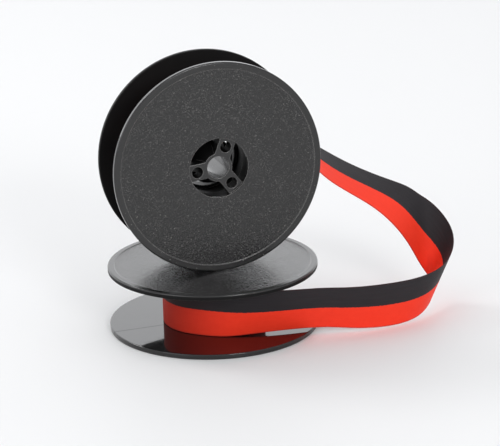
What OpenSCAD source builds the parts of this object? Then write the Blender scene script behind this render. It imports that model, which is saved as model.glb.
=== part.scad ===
// Typewriter ribbon on two flanged spools, in millimetres.
// The lower spool lies flat with its axis along Z. The upper spool stands on its two flange
// edges on top of it, with its axis along Y. The origin is on the lower spool's axis, in the
// plane it rests on. A half black, half red ribbon runs from the upper spool to the lower one.

/* [Flanges] */
// Outside diameter of every flange
flange_d = 52; // [42:0.5:64]
// Thickness of a flange
flange_t = 1.3; // [1:0.1:2]
// Width of the smooth land around a flange's outer face
rim_land = 1.6; // [0.8:0.1:3]
// How far the textured field lies below that land
field_sink = 0.12; // [0.05:0.01:0.3]
// Radius of the rim's corner on the outer face
outer_corner = 0.35; // [0.1:0.05:0.45]
// Radius of the rim's corner on the inner face
inner_corner = 0.2; // [0.1:0.05:0.4]

/* [Hub] */
// How far a flange reaches in past the barrel's bore, around the opening in its middle
hub_ledge = 0.85; // [0.6:0.05:1]
// Diameter of the bore that the machine's spindle goes through
spindle_d = 5.5; // [4.5:0.1:5.6]
// Outside diameter of the spindle tube at the hub's face
tube_d = 7; // [6.7:0.1:7.6]
// Outside diameter of the tube where it flares, half way through the spool
flare_d = 11.6; // [9:0.2:12]
// Length of the tube that is straight, next to the hub's face
tube_straight = 1; // [0.5:0.1:2]
// Length of the flare's widest band
flare_band = 1; // [0.5:0.1:2]
// Length over which the flare narrows again, towards the cover
flare_back = 2; // [1:0.1:3]
// Diameter of the circle that the drive holes lie on
drive_circle_d = 10.6; // [10.4:0.1:11]
// Diameter of a drive hole
drive_hole_d = 2.8; // [2.2:0.1:3]
// Number of drive holes and of arms in a hub
drive_count = 3; // [3:1:4]
// Plastic left on each side of a drive hole, across its arm
arm_wall = 0.6; // [0.4:0.1:0.9]
// Depth of the arms along the axis
arm_depth = 4; // [2:0.5:5]
// How far the hub's face lies below the flange's
hub_sink = 0.7; // [0.3:0.1:1.5]
// Wall of the ring that the cover's arms hold round the tube
hub_ring_wall = 0.5; // [0.4:0.02:0.54]
// How far that ring stands past the arms
hub_ring_proud = 0.4; // [0.2:0.1:1]

/* [Barrel] */
// Outside diameter of the barrel that the ribbon is wound on
barrel_d = 19.2; // [18.6:0.2:24]
// Wall of the barrel
barrel_wall = 1.4; // [1.1:0.1:1.5]
// Length of the cover's spigot inside the barrel
spigot_h = 3.4; // [2:0.2:4]
// Play of the spigot in the barrel, and of the tube in the cover, on the radius
push_fit = 0.04; // [0.02:0.01:0.1]

/* [Ribbon] */
// Width of the ribbon
ribbon_w = 13; // [11:0.1:16]
// Room beside the ribbon between two flanges
ribbon_play = 0.6; // [0.4:0.1:1.5]
// Thickness of the ribbon
ribbon_t = 0.12; // [0.1:0.01:0.2]
// Depth of the ribbon wound on the upper barrel
upper_wound = 8.4; // [4:0.2:12]
// Depth of the ribbon wound on the lower barrel
lower_wound = 2.9; // [1.6:0.1:6]
// Gap between the windings and the barrels, and between the windings and the free span
wrap_gap = 0.1; // [0.06:0.01:0.15]
// Height of the lower winding above its lower flange
winding_lift = 0.1; // [0.05:0.05:0.3]
// Gap between the upper spool's rims and the field that they stand on
stand_gap = 0.1; // [0.05:0.05:0.3]
// Where the ribbon leaves the upper winding, in degrees above the right-hand side
leave_angle = 44; // [38:1:50]
// Where it meets the lower winding, in degrees past the right-hand side, towards the front
meet_angle = 132; // [122:1:140]

/* [Fixings] */
// Diameter of the pin that wedges the ribbon's end in the barrel
anchor_d = 1; // [0.8:0.1:1]
// Outside diameter of the eyelet near the ribbon's end
eyelet_d = 4.4; // [3.6:0.2:5]
// Hole through the eyelet
eyelet_hole_d = 2.4; // [1.6:0.2:2.8]
// Thickness of the eyelet
eyelet_t = 0.6; // [0.4:0.1:0.8]
// Clearance around the pin and the eyelet
fixing_gap = 0.1; // [0.05:0.01:0.15]

/* [Hidden] */
$fn = 96;
EPS = 0.01;

flange_r = flange_d / 2;
spool_h = ribbon_w + ribbon_play + 2 * flange_t;
barrel_r = barrel_d / 2;
barrel_bore_r = barrel_r - barrel_wall;
hub_open_r = barrel_bore_r - hub_ledge;
field_r = flange_r - rim_land;
arm_w = drive_hole_d + 2 * arm_wall;
drive_r = drive_circle_d / 2;
// The tube's far end is thinner, so that the cover's hub ring fits round it inside the drive holes
tube_end_r = drive_r - drive_hole_d / 2 - arm_wall;
upper_winding_r = barrel_r + upper_wound;
lower_winding_r = barrel_r + lower_wound;
axis_z = spool_h - field_sink + stand_gap + flange_r;
// How far each spool is turned about its axis
lower_turn = 30;
upper_turn = -68;
// The eyelet sits a quarter turn round the barrel from the pin
eyelet_turn = 90;

// --- Profiles and pieces of a spool, with its axis along Z and the core's face at Z = 0 ---

function arc(cx, cz, r, a0, a1, steps = 5) =
    [for (k = [0 : steps]) let (a = a0 + (a1 - a0) * k / steps) [cx + r * cos(a), cz + r * sin(a)]];

// Half section of a flange whose outer face looks down
function flange_section() = concat(
    [[hub_open_r, flange_t], [hub_open_r, field_sink], [field_r - field_sink, field_sink], [field_r, 0]],
    arc(flange_r - outer_corner, outer_corner, outer_corner, -90, 0),
    arc(flange_r - inner_corner, flange_t - inner_corner, inner_corner, 0, 90));

module flange() {
    rotate_extrude() polygon(flange_section());
}

module ring(r_in, r_out, z0, z1) {
    translate([0, 0, z0]) difference() {
        cylinder(r = r_out, h = z1 - z0);
        translate([0, 0, -EPS]) cylinder(r = r_in, h = z1 - z0 + 2 * EPS);
    }
}

// Runs its children once for each arm
module each_arm() {
    for (k = [0 : drive_count - 1]) rotate([0, 0, 360 * k / drive_count]) children();
}

module arms(r_in) {
    reach = hub_open_r + hub_ledge / 2;
    intersection() {
        each_arm() translate([0, -arm_w / 2, hub_sink]) cube([reach, arm_w, arm_depth]);
        ring(r_in, reach, hub_sink, hub_sink + arm_depth);
    }
}

// The part of the flange's edge that the arms run into, so that they hold on all their depth
module arm_seat() {
    ring(hub_open_r, barrel_bore_r + EPS, flange_t - EPS, hub_sink + arm_depth);
}

// They run right through the spool, so that drive pins can enter from either side
module drive_holes() {
    each_arm() translate([drive_r, 0, 0]) cylinder(d = drive_hole_d, h = spool_h);
}

// Half section of the spindle tube, which narrows at the cover's end
function tube_section() = [
    [spindle_d / 2, hub_sink], [tube_d / 2, hub_sink], [tube_d / 2, hub_sink + tube_straight],
    [flare_d / 2, spool_h / 2], [flare_d / 2, spool_h / 2 + flare_band],
    [tube_end_r, spool_h / 2 + flare_band + flare_back],
    [tube_end_r, spool_h - hub_sink], [spindle_d / 2, spool_h - hub_sink]];

module anchor_slot() {
    translate([barrel_r - anchor_d / 2, 0, flange_t - EPS])
        cylinder(d = anchor_d + 2 * fixing_gap, h = spool_h - 2 * flange_t + 2 * EPS);
}

module spool_core() {
    difference() {
        union() {
            flange();
            arm_seat();
            arms(spindle_d / 2);
            ring(barrel_bore_r, barrel_r, flange_t - EPS, spool_h - flange_t);
            rotate_extrude() polygon(tube_section());
        }
        drive_holes();
        anchor_slot();
    }
}

module spool_cover() {
    ring_in = tube_end_r + push_fit;
    translate([0, 0, spool_h]) mirror([0, 0, 1]) difference() {
        union() {
            flange();
            ring(hub_open_r, barrel_bore_r - push_fit, flange_t - EPS, flange_t + spigot_h);
            arms(ring_in);
            ring(ring_in, ring_in + hub_ring_wall, hub_sink, hub_sink + arm_depth + hub_ring_proud);
        }
        drive_holes();
    }
}

module eyelet_place() {
    rotate([0, 0, eyelet_turn]) translate([barrel_r + wrap_gap, 0, spool_h / 2]) rotate([0, 90, 0])
        children();
}

// The ribbon on a barrel, with a pocket that the eyelet sits in
module winding(winding_r, z0) {
    difference() {
        ring(barrel_r + wrap_gap, winding_r, z0, z0 + ribbon_w);
        eyelet_place() translate([0, 0, -barrel_wall])
            cylinder(d = eyelet_d + 2 * fixing_gap, h = barrel_wall + eyelet_t + fixing_gap);
    }
}

module eyelet() {
    eyelet_place() ring(eyelet_hole_d / 2, eyelet_d / 2, 0, eyelet_t);
}

module anchor_pin() {
    translate([barrel_r - anchor_d / 2, 0, flange_t + fixing_gap])
        cylinder(d = anchor_d, h = spool_h - 2 * flange_t - 2 * fixing_gap);
}

// --- Where the two spools are ---

module at_lower() {
    rotate([0, 0, lower_turn]) children();
}

module at_upper() {
    translate([0, -spool_h / 2, axis_z]) rotate([-90, 0, 0]) rotate([0, 0, upper_turn]) children();
}

// --- The free span of ribbon ---

// The ribbon's middle line between its two ends. X and Y are in flange radii.
// Z is 0 at the middle of the lower winding and 1 at the upper spool's axis. These points, the
// ways below and the two angles were fitted by a program and then rounded. They were not chosen
// by hand.
route = [[0.69, 0, 1.22], [1.23, 0, 0.79], [1.86, -0.16, 0.59], [2.16, 0.04, 0.26],
         [2.36, -0.18, 0.1], [2.01, -0.73, -0.04], [1.43, -0.84, -0.04], [1.03, -0.8, -0.02],
         [0.79, -0.75, 0], [0.13, -0.71, 0]];
// The way from the red edge to the black edge at each of those points. It slants along the
// ribbon where the ribbon twists, so that it bends as a flat strip does and never stretches.
lean = [[0, 1, 0], [0.7, 0.8, 0.1], [0.6, 0.6, 0.1], [0.1, 0.2, 1],
        [0.4, 0.1, 0.9], [0.4, -0.2, 0.9], [0.1, -0.3, 1.1], [0, -0.4, 0.9],
        [0, -0.4, 0.9], [0.3, -0.4, 0.9]];
span_steps = 6;
leave_step = 5;
meet_step = 5;

lower_mid_z = flange_t + winding_lift + ribbon_w / 2;
upper_span_r = upper_winding_r + wrap_gap + ribbon_t / 2;
lower_span_r = lower_winding_r + wrap_gap + ribbon_t / 2;

leave_point = [upper_span_r * cos(leave_angle), 0, axis_z + upper_span_r * sin(leave_angle)];
leave_way = [sin(leave_angle), 0, -cos(leave_angle)];
meet_point = [lower_span_r * cos(meet_angle), -lower_span_r * sin(meet_angle), lower_mid_z];
meet_way = [-sin(meet_angle), -cos(meet_angle), 0];

function route_point(p) = [p[0] * flange_r, p[1] * flange_r, lower_mid_z + p[2] * (axis_z - lower_mid_z)];

span_line = concat(
    [for (k = [-1 : 1]) leave_point + k * leave_step * leave_way],
    [for (p = route) route_point(p)],
    [for (k = [-1 : 1]) meet_point + k * meet_step * meet_way]);
span_lean = concat([for (k = [0 : 2]) [0, 1, 0]], lean, [for (k = [0 : 2]) [0, 0, 1]]);

// Uniform cubic B-spline through the control points c, and its direction
function blend(c, i, u) = (pow(1 - u, 3) * c[i] + (3 * pow(u, 3) - 6 * u * u + 4) * c[i + 1]
    + (-3 * pow(u, 3) + 3 * u * u + 3 * u + 1) * c[i + 2] + pow(u, 3) * c[i + 3]) / 6;
function heading(c, i, u) = -pow(1 - u, 2) * c[i] + (3 * u * u - 4 * u) * c[i + 1]
    + (-3 * u * u + 2 * u + 1) * c[i + 2] + u * u * c[i + 3];
function unit(v) = v / norm(v);

// The four corners of the ribbon's section, at a distance s in steps along the span
function span_section(s) =
    let (pieces = len(span_line) - 3,
         i = min(floor(s / span_steps), pieces - 1),
         u = s / span_steps - i,
         along = unit(heading(span_line, i, u)),
         w = blend(span_lean, i, u),
         across = w / norm(cross(along, w)),
         face = unit(cross(along, w)),
         mid = blend(span_line, i, u))
    [for (c = [[-1, -1], [1, -1], [1, 1], [-1, 1]])
        mid + across * c[0] * ribbon_w / 2 + face * c[1] * ribbon_t / 2];

module span() {
    last = (len(span_line) - 3) * span_steps;
    points = [for (s = [0 : last], p = span_section(s)) p];
    // Both broad faces are split along the same diagonal, so that the thin strip can twist
    sides = [for (s = [0 : last - 1], k = [0 : 3])
        let (a = 4 * s + k, b = 4 * s + (k + 1) % 4)
        each (k < 2 ? [[b, a, b + 4], [a, a + 4, b + 4]] : [[b, a, a + 4], [b, a + 4, b + 4]])];
    end = 4 * last;
    caps = [[0, 1, 2], [0, 2, 3], [end, end + 2, end + 1], [end, end + 3, end + 2]];
    polyhedron(points, concat(sides, caps));
}

// --- The nodes ---

module lower_core() { color("#1c1c1e") at_lower() spool_core(); }
module lower_cover() { color("#1c1c1e") at_lower() spool_cover(); }
module lower_winding() { color("#d6301f") at_lower() winding(lower_winding_r, flange_t + winding_lift); }
module lower_anchor() { color("dimgray") at_lower() anchor_pin(); }
module lower_eyelet() { color("goldenrod") at_lower() eyelet(); }
module upper_core() { color("#1c1c1e") at_upper() spool_core(); }
module upper_cover() { color("#1c1c1e") at_upper() spool_cover(); }
module upper_winding() { color("#d6301f") at_upper() winding(upper_winding_r, (spool_h - ribbon_w) / 2); }
module upper_anchor() { color("dimgray") at_upper() anchor_pin(); }
module upper_eyelet() { color("goldenrod") at_upper() eyelet(); }
module ribbon_span() { color("#d6301f") span(); }

lower_core();
lower_cover();
lower_winding();
lower_anchor();
lower_eyelet();
upper_core();
upper_cover();
upper_winding();
upper_anchor();
upper_eyelet();
ribbon_span();
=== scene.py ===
"""Looks of a two-colour typewriter ribbon on two flanged spools.

Moulded black plastic, inked nylon ribbon in a free loop and wound turn by turn, steel pins and
brass eyelets. Sizes are in millimetres times MM, in the part's own frame.
"""

import math

import bpy
from mathutils import Matrix, Vector


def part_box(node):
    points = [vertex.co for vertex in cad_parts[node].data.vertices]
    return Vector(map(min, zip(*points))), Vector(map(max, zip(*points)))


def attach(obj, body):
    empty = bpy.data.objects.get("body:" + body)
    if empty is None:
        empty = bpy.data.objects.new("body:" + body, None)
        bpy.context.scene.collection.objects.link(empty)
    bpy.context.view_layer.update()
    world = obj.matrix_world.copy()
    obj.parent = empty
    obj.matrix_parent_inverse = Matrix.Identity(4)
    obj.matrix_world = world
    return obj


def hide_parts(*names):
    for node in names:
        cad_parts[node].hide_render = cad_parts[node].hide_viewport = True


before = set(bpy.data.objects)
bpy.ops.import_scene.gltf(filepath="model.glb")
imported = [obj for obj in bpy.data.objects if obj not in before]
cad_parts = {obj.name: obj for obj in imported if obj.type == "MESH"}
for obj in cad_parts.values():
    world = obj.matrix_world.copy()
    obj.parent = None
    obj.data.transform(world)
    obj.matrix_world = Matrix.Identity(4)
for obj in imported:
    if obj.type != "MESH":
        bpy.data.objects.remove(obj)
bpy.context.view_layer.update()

MM = 0.001

# --- Sizes shared with the part ---

core_low, core_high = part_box("lower_core")
upper_low, upper_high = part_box("upper_core")
FLANGE_R = (core_high.x - core_low.x) / 2
SPOOL_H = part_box("lower_cover")[1].z - core_low.z
AXIS_Z = (upper_low.z + upper_high.z) / 2
FLANGE_T = 1.3 * MM
RIM_LAND = 1.6 * MM
BARREL_R = 9.6 * MM
HUB_OPEN_R = 7.35 * MM
RIBBON_W = 13 * MM
RIBBON_T = 0.12 * MM
WRAP_GAP = 0.1 * MM
UPPER_WINDING_R = 18 * MM
LOWER_WINDING_R = 12.5 * MM
LOWER_MID = FLANGE_T + 0.1 * MM + RIBBON_W / 2
EYELET_T = 0.6 * MM
LOWER_TURN = math.radians(30)
UPPER_TURN = math.radians(-68)

# Ribbon wound turn on turn
TURN_PITCH = 0.12 * MM
TURN_T = 0.09 * MM
TURN_CLEAR = 0.1 * MM
TURN_WANDER = 0.12 * MM
EYELET_CLEAR = 0.3 * MM
POINTS_A_TURN = 72

# A spool's own frame has its axis along Z and its core's outer face at Z = 0
LOWER_PLACE = Matrix.Rotation(LOWER_TURN, 4, "Z")
UPPER_PLACE = (
    Matrix.Translation((0, -SPOOL_H / 2, AXIS_Z))
    @ Matrix.Rotation(math.radians(-90), 4, "X")
    @ Matrix.Rotation(UPPER_TURN, 4, "Z")
)

# --- The ribbon's route between the spools ---

# X and Y are in flange radii. Z is 0 at the middle of the lower winding and 1 at the upper axis.
# These points, the ways below and the two angles were fitted by a program and then rounded. They
# were not chosen by hand.
ROUTE = (
    (0.69, 0, 1.22), (1.23, 0, 0.79), (1.86, -0.16, 0.59), (2.16, 0.04, 0.26),
    (2.36, -0.18, 0.1), (2.01, -0.73, -0.04), (1.43, -0.84, -0.04), (1.03, -0.8, -0.02),
    (0.79, -0.75, 0), (0.13, -0.71, 0),
)
# The way from the red edge to the black edge at each of those points
LEAN = (
    (0, 1, 0), (0.7, 0.8, 0.1), (0.6, 0.6, 0.1), (0.1, 0.2, 1),
    (0.4, 0.1, 0.9), (0.4, -0.2, 0.9), (0.1, -0.3, 1.1), (0, -0.4, 0.9),
    (0, -0.4, 0.9), (0.3, -0.4, 0.9),
)
LEAVE_ANGLE = math.radians(44)
MEET_ANGLE = math.radians(132)
LEAVE_STEP = 5 * MM
MEET_STEP = 5 * MM
WRAP_ARC = math.radians(300)
UPPER_WRAP_R = UPPER_WINDING_R + WRAP_GAP + RIBBON_T / 2
LOWER_WRAP_R = LOWER_WINDING_R + WRAP_GAP + RIBBON_T / 2
WRAP_STEPS = 72
SPAN_STEPS = 16
RIBBON_COLUMNS = 12

# --- Surface sizes, and the angle of the inner faces' flow line on a spool ---

EDGE_R = 0.25 * MM
TEXTURE_DEPTH = 0.032 * MM
CLOTH_DEPTH = 0.012 * MM
METAL_DEPTH = 0.01 * MM
HUB_FACE_DEPTH = 0.95
THREAD_PITCH = 0.13
FLOW_LINE = math.radians(152)

# --- Colours, linear ---

STYRENE = (0.0045, 0.0045, 0.0048, 1), (0.0085, 0.008, 0.008, 1)
RUBBED_STYRENE = (0.06, 0.058, 0.056, 1)
# Pale edge colour: rubbed wear, and a painted highlight where the edges catch the light
WORN_EDGE_AND_HIGHLIGHT = (0.36, 0.35, 0.34, 1)
FLOW_LINE_BLACK = (0.004, 0.004, 0.004, 1)
DUST = (0.35, 0.34, 0.32, 1)
RED_INK = (0.84, 0.036, 0.014, 1), (0.92, 0.052, 0.022, 1)
DEEP_RED_INK = (0.74, 0.024, 0.010, 1)
BLACK_INK = (0.018, 0.016, 0.018, 1), (0.031, 0.0275, 0.0305, 1)
SELVEDGE_INK = (0.05, 0.012, 0.012, 1)
# Painted shade for ribbon lying on a winding between the flanges
WOUND_SHADE_INK = (0.02, 0.004, 0.003, 1)
STEEL = (0.56, 0.56, 0.58, 1)
BRASS = (0.78, 0.58, 0.29, 1)
PAPER = (0.785, 0.785, 0.785, 1), (0.80, 0.80, 0.80, 1)


# --- Camera, light and floor ---


def aim(thing, at, target, roll=0.0):
    """Places a camera or light and points it at target, then rolls it about its own axis."""
    turn = (target - at).to_track_quat("-Z", "Y").to_matrix().to_4x4()
    thing.matrix_world = Matrix.Translation(at) @ turn @ Matrix.Rotation(roll, 4, "Z")


def placed(name, data):
    """A new object in the scene."""
    made = bpy.data.objects.new(name, data)
    bpy.context.scene.collection.objects.link(made)
    return made


def make_camera():
    camera = placed("camera", bpy.data.cameras.new("camera"))
    camera.data.lens = 146.7
    camera.data.sensor_width = 36
    camera.data.clip_start = 0.01
    aim(
        camera,
        at=Vector((-134.6, -459.3, 176.5)) * MM,
        target=Vector((9.96, 0, 24.82)) * MM,
        roll=math.radians(-1.43),
    )
    bpy.context.scene.camera = camera


def soft_light(name, at, size, watts):
    """A rectangular soft box that looks at the middle of the object."""
    light = bpy.data.lights.new(name, "AREA")
    light.shape = "RECTANGLE"
    light.size, light.size_y = size
    light.energy = watts
    aim(placed(name, light), Vector(at), Vector((0.01, 0, 0.03)))


def make_studio():
    scene = bpy.context.scene
    scene.view_settings.view_transform = "Standard"
    scene.world = studio_walls()
    soft_light("back_box", at=(-0.42, 0.5, 0.62), size=(0.25, 0.15), watts=1.4)
    soft_light("front_box", at=(0.15, -1.1, 0.5), size=(0.35, 0.25), watts=4.5)
    soft_light("left_box", at=(-0.95, -0.55, 0.4), size=(0.6, 0.6), watts=2.0)


def studio_walls():
    """A pale tent whose back wall is the brightest."""
    world = bpy.data.worlds.new("studio")
    world.use_nodes = True
    tree = world.node_tree
    way = tree.nodes.new("ShaderNodeTexCoord")
    split = tree.nodes.new("ShaderNodeSeparateXYZ")
    tree.links.new(way.outputs["Generated"], split.inputs[0])
    # How far a way points back, and how low it points
    shares = []
    for axis, start, end in (("Y", -0.1, 0.6), ("Z", 0.6, 0.35)):
        share = tree.nodes.new("ShaderNodeMapRange")
        share.interpolation_type = "SMOOTHSTEP"
        share.inputs["From Min"].default_value = start
        share.inputs["From Max"].default_value = end
        tree.links.new(split.outputs[axis], share.inputs["Value"])
        shares.append(share.outputs[0])
    both = tree.nodes.new("ShaderNodeMath")
    both.operation = "MULTIPLY"
    strength = tree.nodes.new("ShaderNodeMapRange")
    strength.inputs["To Min"].default_value = 0.84
    strength.inputs["To Max"].default_value = 1.85
    for share, socket in zip(shares, both.inputs):
        tree.links.new(share, socket)
    tree.links.new(both.outputs[0], strength.inputs["Value"])
    background = tree.nodes["Background"]
    tree.links.new(strength.outputs[0], background.inputs["Strength"])
    background.inputs["Color"].default_value = (0.97, 0.98, 1, 1)
    return world


def make_floor():
    half = 4.0
    mesh = bpy.data.meshes.new("floor")
    corners = [(-half, -half, 0), (half, -half, 0), (half, half, 0), (-half, half, 0)]
    mesh.from_pydata(corners, [], [(0, 1, 2, 3)])
    mesh.materials.append(floor_paper())
    placed("floor", mesh)


# --- Materials ---


class Finish:
    """Builds one material's nodes. Sockets and plain numbers can both be given as inputs."""

    def __init__(self, name):
        self.material = bpy.data.materials.new(name)
        self.material.use_nodes = True
        self.tree = self.material.node_tree
        self.shader = self.tree.nodes["Principled BSDF"]

    def put(self, socket, value):
        if isinstance(value, bpy.types.NodeSocket):
            self.tree.links.new(value, socket)
        else:
            socket.default_value = value

    def set(self, **inputs):
        for name, value in inputs.items():
            self.put(self.shader.inputs[name.replace("_", " ")], value)

    def node(self, kind, inputs=None, **settings):
        made = self.tree.nodes.new("ShaderNode" + kind)
        for name, value in settings.items():
            setattr(made, name, value)
        for name, value in (inputs or {}).items():
            self.put(made.inputs[name], value)
        return made

    def math(self, operation, *values):
        made = self.node("Math", operation=operation)
        for socket, value in zip(made.inputs, values):
            self.put(socket, value)
        return made.outputs[0]

    def plus(self, first, second):
        return self.math("ADD", first, second)

    def minus(self, first, second):
        return self.math("SUBTRACT", first, second)

    def times(self, first, *others):
        for other in others:
            first = self.math("MULTIPLY", first, other)
        return first

    def rest(self, share):
        return self.minus(1.0, share)

    def size(self, value):
        return self.math("ABSOLUTE", value)

    def step(self, value, low, high):
        """Goes smoothly from 0 at low to 1 at high."""
        made = self.node("MapRange", interpolation_type="SMOOTHSTEP")
        for name, given in (("Value", value), ("From Min", low), ("From Max", high)):
            self.put(made.inputs[name], given)
        return made.outputs[0]

    def between(self, value, low, high):
        """Goes in a straight line from low at 0 to high at 1."""
        made = self.node("MapRange")
        for name, given in (("Value", value), ("To Min", low), ("To Max", high)):
            self.put(made.inputs[name], given)
        return made.outputs[0]

    def noise(self, at, scale, detail=2.0, roughness=0.5):
        inputs = {"Vector": at, "Scale": scale, "Detail": detail, "Roughness": roughness}
        return self.node("TexNoise", inputs).outputs["Fac"]

    def blend_numbers(self, share, first, second):
        made = self.node("Mix", data_type="FLOAT")
        self.put(made.inputs["Factor"], share)
        self.put(made.inputs[2], first)
        self.put(made.inputs[3], second)
        return made.outputs[0]

    def blend_colours(self, share, first, second):
        made = self.node("Mix", data_type="RGBA")
        self.put(made.inputs["Factor"], share)
        self.put(made.inputs[6], first)
        self.put(made.inputs[7], second)
        return made.outputs[2]

    def vector(self, x, y, z=0.0):
        return self.node("CombineXYZ", {"X": x, "Y": y, "Z": z}).outputs[0]

    def split(self, vector):
        return self.node("SeparateXYZ", {0: vector}).outputs

    def bump(self, height, depth, normal=None):
        made = self.node("Bump", {"Height": height, "Distance": depth, "Strength": 1.0})
        if normal is not None:
            self.put(made.inputs["Normal"], normal)
        return made.outputs[0]

    def spool_coordinates(self, place):
        """Place on a spool in millimetres: the point, its radius, its depth and its angle."""
        location, rotation, _ = place.decompose()
        mapped = self.node("Mapping", vector_type="TEXTURE")
        self.put(mapped.inputs["Vector"], self.node("TexCoord").outputs["Object"])
        mapped.inputs["Location"].default_value = location
        mapped.inputs["Rotation"].default_value = rotation.to_euler()
        mapped.inputs["Scale"].default_value = (MM, MM, MM)
        point = mapped.outputs[0]
        x, y, depth = self.split(point)
        radius = self.math("SQRT", self.plus(self.times(x, x), self.times(y, y)))
        return point, radius, depth, self.math("ARCTAN2", y, x)


class SpoolZones:
    """The parts of a spool's surface, each 1 inside it and 0 outside. Numbers are millimetres."""

    def __init__(self, f, place):
        self.point, self.radius, self.depth, self.angle = f.spool_coordinates(place)
        middle = SPOOL_H / MM / 2
        hub_r = HUB_OPEN_R / MM
        barrel_r = BARREL_R / MM
        field_r = (FLANGE_R - RIM_LAND) / MM
        off_middle = f.size(f.minus(self.depth, middle))
        past_hub = f.step(self.radius, hub_r, hub_r + 0.1)
        past_barrel = f.step(self.radius, barrel_r, barrel_r + 0.2)
        past_bore = f.step(self.radius, 3.0, 3.3)
        past_field = f.step(self.radius, field_r - 0.15, field_r - 0.05)
        below_hub_face = f.step(f.minus(middle - HUB_FACE_DEPTH, off_middle), 0.0, 0.3)
        self.hub = f.rest(past_hub)
        self.outside = f.step(off_middle, middle - 0.5, middle - 0.3)
        self.field = f.times(self.outside, f.times(f.rest(past_field), past_hub))
        self.inner_face = f.times(past_barrel, f.rest(self.outside))
        self.pocket = f.times(f.rest(past_barrel), past_bore, below_hub_face)
        # Where the plastic's two fronts met in the mould
        off_line = f.size(f.times(f.minus(self.angle, FLOW_LINE), self.radius))
        self.flow_line = f.times(self.inner_face, f.rest(f.step(off_line, 0.06, 0.16)))


def spool_plastic(name, place, polish):
    """Black styrene: spark-textured outside with a smooth land, and as bright as polish inside."""
    f = Finish(name)
    on = SpoolZones(f, place)
    pebble = f.step(f.noise(on.point, 2.5, 1.5, 0.6), 0.42, 0.66)
    ripple = f.noise(on.point, 0.16, 2.0, 0.5)
    rounded = f.node("Bevel", {"Radius": EDGE_R}, samples=6).outputs[0]
    f.set(
        Base_Color=styrene_colour(f, on, pebble, ripple, rounded),
        Roughness=styrene_roughness(f, on, pebble, polish),
        Normal=styrene_relief(f, on, pebble, ripple, rounded),
        IOR=1.59,
        Specular_IOR_Level=styrene_shine(f, on, polish),
    )
    return f.material


def styrene_relief(f, on, pebble, ripple, rounded):
    """Spark texture on the field, faint waves on smooth plastic and a fine grain in the hub."""
    grain = f.plus(pebble, f.times(f.noise(on.point, 7.0, 1.0), 0.3))
    waves = f.times(f.rest(on.field), f.times(ripple, 0.25))
    hub_grain = f.times(f.noise(on.point, 4.0, 2.0), f.times(on.hub, 0.3))
    height = f.plus(f.plus(f.times(grain, on.field), waves), hub_grain)
    return f.bump(height, TEXTURE_DEPTH, rounded)


def styrene_roughness(f, on, pebble, polish):
    """Scuffs run round the spool. The inner faces go from satin to bright with polish."""
    swept = f.vector(f.times(on.angle, 2.0), on.radius, on.depth)
    scuff = f.step(f.noise(swept, 3.0, 4.0), 0.5, 0.8)
    plain = f.plus(f.between(scuff, 0.2, 0.3), f.times(on.pocket, 0.22))
    inner = f.between(scuff, 0.44 - 0.4 * polish, 0.53 - 0.4 * polish)
    smooth = f.blend_numbers(on.inner_face, plain, inner)
    return f.blend_numbers(on.field, smooth, f.between(pebble, 0.2, 0.12))


def styrene_colour(f, on, pebble, ripple, rounded):
    """Peaks of the texture are rubbed paler, the edges are painted pale for rubbed wear and a
    painted highlight, and a little dust lies outside.
    """
    black = f.blend_colours(ripple, *STYRENE)
    peaks = f.times(f.step(f.noise(on.point, 3.8, 0.5), 0.56, 0.76), on.field)
    rubbed = f.between(f.step(f.noise(on.point, 0.11, 2.0), 0.35, 0.65), 0.45, 1.0)
    black = f.blend_colours(f.times(peaks, rubbed), black, RUBBED_STYRENE)
    true_normal = f.node("NewGeometry").outputs["Normal"]
    facing = f.node("VectorMath", {0: rounded, 1: true_normal}, operation="DOT_PRODUCT")
    # Edges are painted pale: partly rubbed wear, partly a painted highlight
    edge = f.step(facing.outputs["Value"], 0.985, 0.86)
    worn_and_highlight = f.times(edge, f.between(pebble, 0.5, 1.0), 0.7)
    black = f.blend_colours(worn_and_highlight, black, WORN_EDGE_AND_HIGHLIGHT)
    black = f.blend_colours(on.flow_line, black, FLOW_LINE_BLACK)
    speck = f.step(f.noise(on.point, 2.6, 0.0), 0.79, 0.84)
    return f.blend_colours(f.times(speck, f.times(on.outside, 0.35)), black, DUST)


def styrene_shine(f, on, polish):
    """Dull in the flow line and the hub's pockets, and on inner faces without polish."""
    shine = f.minus(f.between(on.flow_line, 0.43, 0.05), f.times(on.pocket, 0.38))
    return f.minus(shine, f.times(on.inner_face, 0.36 * (1 - polish)))


def inked_weave(f, along, across, wound_shade):
    """Fine nylon cloth in two inks. along and across are millimetres on the flat ribbon.

    The last argument is 1 where the ribbon lies on a winding between the flanges, and darkens it
    there with painted shade.
    """
    flat = f.vector(along, across)
    half = RIBBON_W / MM / 2
    swept = f.vector(f.times(along, 0.12), f.times(across, 2.2))
    streaks = f.noise(swept, 1.0, 4.0, 0.6)
    patches = f.noise(flat, 0.55, 3.0, 0.55)
    bleed = f.times(f.minus(f.noise(flat, 2.2, 3.0), 0.5), 0.35)
    black_part = f.step(f.plus(across, bleed), half - 0.08, half + 0.08)
    edge = f.minus(half, f.size(f.minus(across, half)))
    selvedge = f.rest(f.step(edge, 0.12, 0.4))

    red = f.blend_colours(patches, *RED_INK)
    red = f.blend_colours(f.times(streaks, 0.35), red, DEEP_RED_INK)
    ink = f.blend_colours(black_part, red, f.blend_colours(streaks, *BLACK_INK))
    ink = f.blend_colours(f.times(selvedge, 0.35), ink, SELVEDGE_INK)
    # Painted shade on the ribbon where it lies on a winding
    ink = f.blend_colours(f.times(wound_shade, 0.6), ink, WOUND_SHADE_INK)

    thread = math.pi / THREAD_PITCH
    warp = f.math("SINE", f.times(across, thread))
    weft = f.math("SINE", f.times(along, thread))
    cloth = f.plus(f.times(warp, weft, 0.5), f.times(selvedge, 1.2))
    f.set(
        Base_Color=ink,
        Roughness=f.between(patches, 0.55, 0.68),
        Normal=f.bump(cloth, CLOTH_DEPTH),
        Sheen_Weight=0.03,
        Sheen_Roughness=0.4,
        Specular_IOR_Level=0.13,
    )
    return f.material


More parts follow.
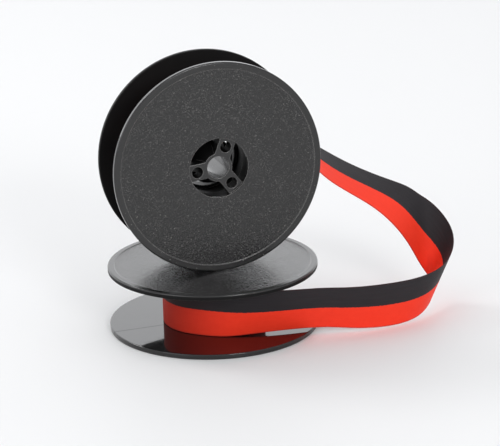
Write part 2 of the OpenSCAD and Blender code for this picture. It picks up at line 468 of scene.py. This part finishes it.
def loop_ribbon(name, free_from, free_to):
    """The ribbon's finish on the loop, which carries its flat shape as a UV map in millimetres.

    Between free_from and free_to it hangs free, and beyond them it lies on a winding.
    """
    f = Finish(name)
    along, across, _ = f.split(f.node("UVMap", uv_map="flat").outputs[0])
    off_upper = f.step(along, free_from - 8, free_from + 2)
    off_lower = f.step(along, free_to + 8, free_to - 12)
    # 1 where the loop lies on a winding, which gets painted shade
    return inked_weave(f, along, across, f.rest(f.times(off_upper, off_lower)))


def wound_ribbon(name, place, middle):
    """The ribbon's finish on a winding, laid out round the spool's axis."""
    f = Finish(name)
    _, radius, depth, angle = f.spool_coordinates(place)
    across = f.plus(depth, (RIBBON_W / 2 - middle) / MM)
    # The whole winding gets the painted shade
    return inked_weave(f, f.times(angle, radius), across, 1.0)


def bright_metal(name, place, colour, grain):
    """Drawn or stamped metal. grain is how close its marks lie along the spool's three axes."""
    f = Finish(name)
    point = f.spool_coordinates(place)[0]
    stretched = f.node("VectorMath", {0: point, 1: grain}, operation="MULTIPLY").outputs[0]
    marks = f.noise(stretched, 3.0, 4.0)
    dull = (*(0.8 * c for c in colour[:3]), 1)
    f.set(
        Base_Color=f.blend_colours(marks, colour, dull),
        Metallic=1.0,
        Roughness=f.between(marks, 0.18, 0.36),
        Normal=f.bump(marks, METAL_DEPTH),
    )
    return f.material


def floor_paper():
    """Plain pale studio paper."""
    f = Finish("floor_paper")
    cloud = f.noise(f.node("TexCoord").outputs["Object"], 3.0, 2.0)
    f.set(
        Base_Color=f.blend_colours(cloud, *PAPER),
        Roughness=0.55,
        Specular_IOR_Level=0.3,
    )
    return f.material


# --- The free loop of ribbon ---


def spline_point(points, start, u):
    """Point of the uniform cubic B-spline between control points start + 1 and start + 2."""
    weights = (
        (1 - u) ** 3,
        3 * u**3 - 6 * u**2 + 4,
        -3 * u**3 + 3 * u**2 + 3 * u + 1,
        u**3,
    )
    return sum((points[start + k] * w for k, w in enumerate(weights)), Vector()) / 6


def spline_way(points, start, u):
    """Its heading there."""
    weights = (-((1 - u) ** 2), 3 * u**2 - 4 * u, -3 * u**2 + 2 * u + 1, u**2)
    return sum((points[start + k] * w for k, w in enumerate(weights)), Vector()).normalized()


def round_upper(angle):
    """Point and heading of the ribbon's middle line on the upper winding."""
    c, s = math.cos(angle), math.sin(angle)
    return Vector((0, 0, AXIS_Z)) + UPPER_WRAP_R * Vector((c, 0, s)), Vector((s, 0, -c))


def round_lower(angle):
    """The same on the lower winding."""
    c, s = math.cos(angle), math.sin(angle)
    return Vector((0, 0, LOWER_MID)) + LOWER_WRAP_R * Vector((c, -s, 0)), Vector((-s, -c, 0))


def span_rows():
    """The free span's middle line as (point, heading, way across)."""
    leave, leave_way = round_upper(LEAVE_ANGLE)
    meet, meet_way = round_lower(MEET_ANGLE)
    rise = AXIS_Z - LOWER_MID
    line = [leave + k * LEAVE_STEP * leave_way for k in (-1, 0, 1)]
    line += [Vector((x * FLANGE_R, y * FLANGE_R, LOWER_MID + z * rise)) for x, y, z in ROUTE]
    line += [meet + k * MEET_STEP * meet_way for k in (-1, 0, 1)]
    lean = [Vector((0, 1, 0))] * 3 + [Vector(w) for w in LEAN] + [Vector((0, 0, 1))] * 3
    rows = []
    for start in range(len(line) - 3):
        for k in range(SPAN_STEPS):
            u = k / SPAN_STEPS
            along = spline_way(line, start, u)
            way = spline_point(lean, start, u)
            across = way / along.cross(way).length
            rows.append((spline_point(line, start, u), along, across))
    return rows


def ribbon_rows():
    """The same for the whole loop, with a last turn on each winding."""
    upper, lower = [], []
    for k in range(WRAP_STEPS):
        point, along = round_upper(LEAVE_ANGLE + WRAP_ARC * (1 - k / WRAP_STEPS))
        upper.append((point, along, Vector((0, 1, 0))))
    for k in range(WRAP_STEPS + 1):
        point, along = round_lower(MEET_ANGLE + WRAP_ARC * k / WRAP_STEPS)
        lower.append((point, along, Vector((0, 0, 1))))
    return upper + span_rows() + lower


def strip_mesh(rows):
    """The strip that rows describe, with its flat shape as a UV map, and its length."""
    points, flat = [], []
    gone = 0.0
    for row, (middle, along, across) in enumerate(rows):
        if row:
            gone += (middle - rows[row - 1][0]).length
        for column in range(RIBBON_COLUMNS + 1):
            offset = (column / RIBBON_COLUMNS - 0.5) * RIBBON_W
            slant = across.dot(along) * offset
            points.append(middle + across * offset)
            flat.append(((gone + slant) / MM, (offset + RIBBON_W / 2) / MM))
    wide = RIBBON_COLUMNS + 1
    faces = [
        (r * wide + c, r * wide + c + 1, (r + 1) * wide + c + 1, (r + 1) * wide + c)
        for r in range(len(rows) - 1)
        for c in range(RIBBON_COLUMNS)
    ]
    mesh = bpy.data.meshes.new("ribbon_strip")
    mesh.from_pydata(points, [], faces)
    layer = mesh.uv_layers.new(name="flat")
    for corner in mesh.loops:
        layer.data[corner.index].uv = flat[corner.vertex_index]
    return mesh, gone


def make_loop():
    """One long strip: the free span, and the turn that hugs each winding."""
    mesh, length = strip_mesh(ribbon_rows())
    strip = placed("ribbon_strip", mesh)
    solid = strip.modifiers.new("thickness", "SOLIDIFY")
    solid.thickness = RIBBON_T
    solid.offset = 0
    free_from = WRAP_ARC * UPPER_WRAP_R
    free_to = length - WRAP_ARC * LOWER_WRAP_R
    finish = loop_ribbon("inked_loop", free_from / MM, free_to / MM)
    return settled(strip, "ribbon_loop", finish), length


def settled(source, name, material, place=None):
    """A plain mesh piece with what source's modifiers make. source is removed."""
    bpy.context.view_layer.update()
    made = bpy.data.meshes.new_from_object(
        source.evaluated_get(bpy.context.evaluated_depsgraph_get())
    )
    bpy.data.objects.remove(source)
    if place is not None:
        made.transform(place)
    made.name = name
    made.shade_smooth()
    made.set_sharp_from_angle(angle=math.radians(40))
    made.materials.clear()
    made.materials.append(material)
    return placed(name, made)


# --- The wound ribbon, turn by turn ---


class Growth:
    """Builds one Geometry Nodes tree."""

    def __init__(self, name, inputs):
        self.tree = bpy.data.node_groups.new(name, "GeometryNodeTree")
        sockets = self.tree.interface
        sockets.new_socket("Geometry", in_out="OUTPUT", socket_type="NodeSocketGeometry")
        self.identifiers = {}
        for label, kind in inputs:
            socket = sockets.new_socket(label, in_out="INPUT", socket_type=kind)
            self.identifiers[label] = socket.identifier
        self.given = self.tree.nodes.new("NodeGroupInput").outputs

    def node(self, kind, inputs=None, **settings):
        made = self.tree.nodes.new(kind)
        for name, value in settings.items():
            setattr(made, name, value)
        for name, value in (inputs or {}).items():
            if isinstance(value, bpy.types.NodeSocket):
                self.tree.links.new(value, made.inputs[name])
            else:
                made.inputs[name].default_value = value
        return made

    def math(self, operation, *values):
        inputs = dict(enumerate(values))
        return self.node("ShaderNodeMath", inputs, operation=operation).outputs[0]

    def vector_math(self, operation, inputs, output=0):
        return self.node("ShaderNodeVectorMath", inputs, operation=operation).outputs[output]

    def finish(self, geometry):
        out = self.tree.nodes.new("NodeGroupOutput")
        self.tree.links.new(geometry, out.inputs[0])


def turns_growth():
    """A flat strip wound as a spiral, whose turns wander a little and ride up over the eyelet."""
    g = Growth("wound_turns", (
        ("Turns", "NodeSocketFloat"),
        ("Points a turn", "NodeSocketInt"),
        ("Inner radius", "NodeSocketFloat"),
        ("Outer radius", "NodeSocketFloat"),
        ("Middle", "NodeSocketFloat"),
        ("Width", "NodeSocketFloat"),
        ("Thickness", "NodeSocketFloat"),
        ("Wander", "NodeSocketFloat"),
        ("Bulge", "NodeSocketFloat"),
        ("Seed", "NodeSocketFloat"),
        ("Material", "NodeSocketMaterial"),
    ))
    given = g.given
    spiral = g.node("GeometryNodeCurveSpiral", {
        "Resolution": given["Points a turn"],
        "Rotations": given["Turns"],
        "Start Radius": given["Inner radius"],
        "End Radius": given["Outer radius"],
        "Height": 0.0,
    })
    offset = g.vector_math("ADD", {0: eyelet_bulge(g), 1: turn_height(g)})
    moved = g.node("GeometryNodeSetPosition", {"Geometry": spiral.outputs[0], "Offset": offset})
    upright = g.node("GeometryNodeSetCurveNormal", {"Curve": moved.outputs[0]})
    upright.mode = "Z_UP"
    section = g.node("GeometryNodeCurvePrimitiveQuadrilateral", {
        "Width": given["Thickness"], "Height": given["Width"],
    })
    strip = g.node("GeometryNodeCurveToMesh", {
        "Curve": upright.outputs[0], "Profile Curve": section.outputs[0], "Fill Caps": True,
    })
    real = g.node("GeometryNodeRealizeInstances", {"Geometry": strip.outputs[0]})
    inked = g.node("GeometryNodeSetMaterial", {
        "Geometry": real.outputs[0], "Material": given["Material"],
    })
    g.finish(inked.outputs[0])
    return g


def eyelet_bulge(g):
    """How far the turns are pushed out by the eyelet, on the barrel's +Y side."""
    given = g.given
    position = g.node("GeometryNodeInputPosition").outputs[0]
    radius = g.vector_math("LENGTH", {0: position}, "Value")
    facing = g.math("DIVIDE", g.node("ShaderNodeSeparateXYZ", {0: position}).outputs[1], radius)
    near = g.node("ShaderNodeMapRange", {
        "Value": facing, "From Min": 0.9, "From Max": 0.972,
    }, interpolation_type="SMOOTHSTEP").outputs[0]
    left = g.math("SUBTRACT", given["Outer radius"], radius)
    room = g.math("SUBTRACT", given["Outer radius"], given["Inner radius"])
    most = g.math("MULTIPLY", near, given["Bulge"])
    lift = g.math("MULTIPLY", most, g.math("DIVIDE", left, room))
    outward = g.vector_math("NORMALIZE", {0: position})
    return g.vector_math("SCALE", {0: outward, "Scale": lift})


def turn_height(g):
    """Each turn's height on the spool, a little to one side of the last one's."""
    given = g.given
    index = g.node("GeometryNodeInputIndex").outputs[0]
    turn = g.math("DIVIDE", index, given["Points a turn"])
    wave = g.node("ShaderNodeTexNoise", {
        "W": g.math("ADD", turn, given["Seed"]), "Scale": 1.7, "Detail": 1.0,
    }, noise_dimensions="1D").outputs[0]
    shift = g.math("MULTIPLY", g.math("SUBTRACT", wave, 0.5), given["Wander"])
    height = g.math("ADD", shift, given["Middle"])
    return g.node("ShaderNodeCombineXYZ", {"Z": height}).outputs[0]


def make_winding(growth, name, body, place, outer, middle, seed):
    """The wound ribbon that stands for the CAD node called name."""
    inner = BARREL_R + WRAP_GAP + TURN_PITCH / 2
    last = outer - TURN_PITCH / 2
    material = wound_ribbon("inked_" + name, place, middle)
    values = {
        "Turns": (last - inner) / TURN_PITCH,
        "Points a turn": POINTS_A_TURN,
        "Inner radius": inner,
        "Outer radius": last,
        "Middle": middle,
        "Width": RIBBON_W - TURN_CLEAR,
        "Thickness": TURN_T,
        "Wander": TURN_WANDER,
        "Bulge": EYELET_T + EYELET_CLEAR,
        "Seed": seed,
        "Material": material,
    }
    holder = placed("turns", bpy.data.meshes.new("turns"))
    wound = holder.modifiers.new("turns", "NODES")
    wound.node_group = growth.tree
    for label, value in values.items():
        wound[growth.identifiers[label]] = value
    piece = settled(holder, name + "_turns", material, place)
    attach(piece, body)
    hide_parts(name)


# --- Put together ---


def finish_spools():
    """Materials for the plastic, the pins and the eyelets, whose shapes stay as they are."""
    for spool, place in (("lower", LOWER_PLACE), ("upper", UPPER_PLACE)):
        finishes = {
            "core": spool_plastic(spool + "_core_styrene", place, polish=1.0),
            "cover": spool_plastic(spool + "_cover_styrene", place, polish=0.0),
            "anchor": bright_metal(spool + "_steel", place, STEEL, grain=(1, 1, 0.1)),
            "eyelet": bright_metal(spool + "_brass", place, BRASS, grain=(0.4, 1, 1)),
        }
        for part, material in finishes.items():
            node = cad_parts[f"{spool}_{part}"]
            node.data.materials.clear()
            node.data.materials.append(material)


make_camera()
make_studio()
make_floor()
finish_spools()

loop, loop_length = make_loop()
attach(loop, "ribbon")
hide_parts("ribbon_span")

growth = turns_growth()
make_winding(
    growth, "upper_winding", "upper_spool", UPPER_PLACE,
    outer=UPPER_WINDING_R, middle=SPOOL_H / 2, seed=3.1,
)
make_winding(
    growth, "lower_winding", "lower_spool", LOWER_PLACE,
    outer=LOWER_WINDING_R, middle=LOWER_MID, seed=8.4,
)
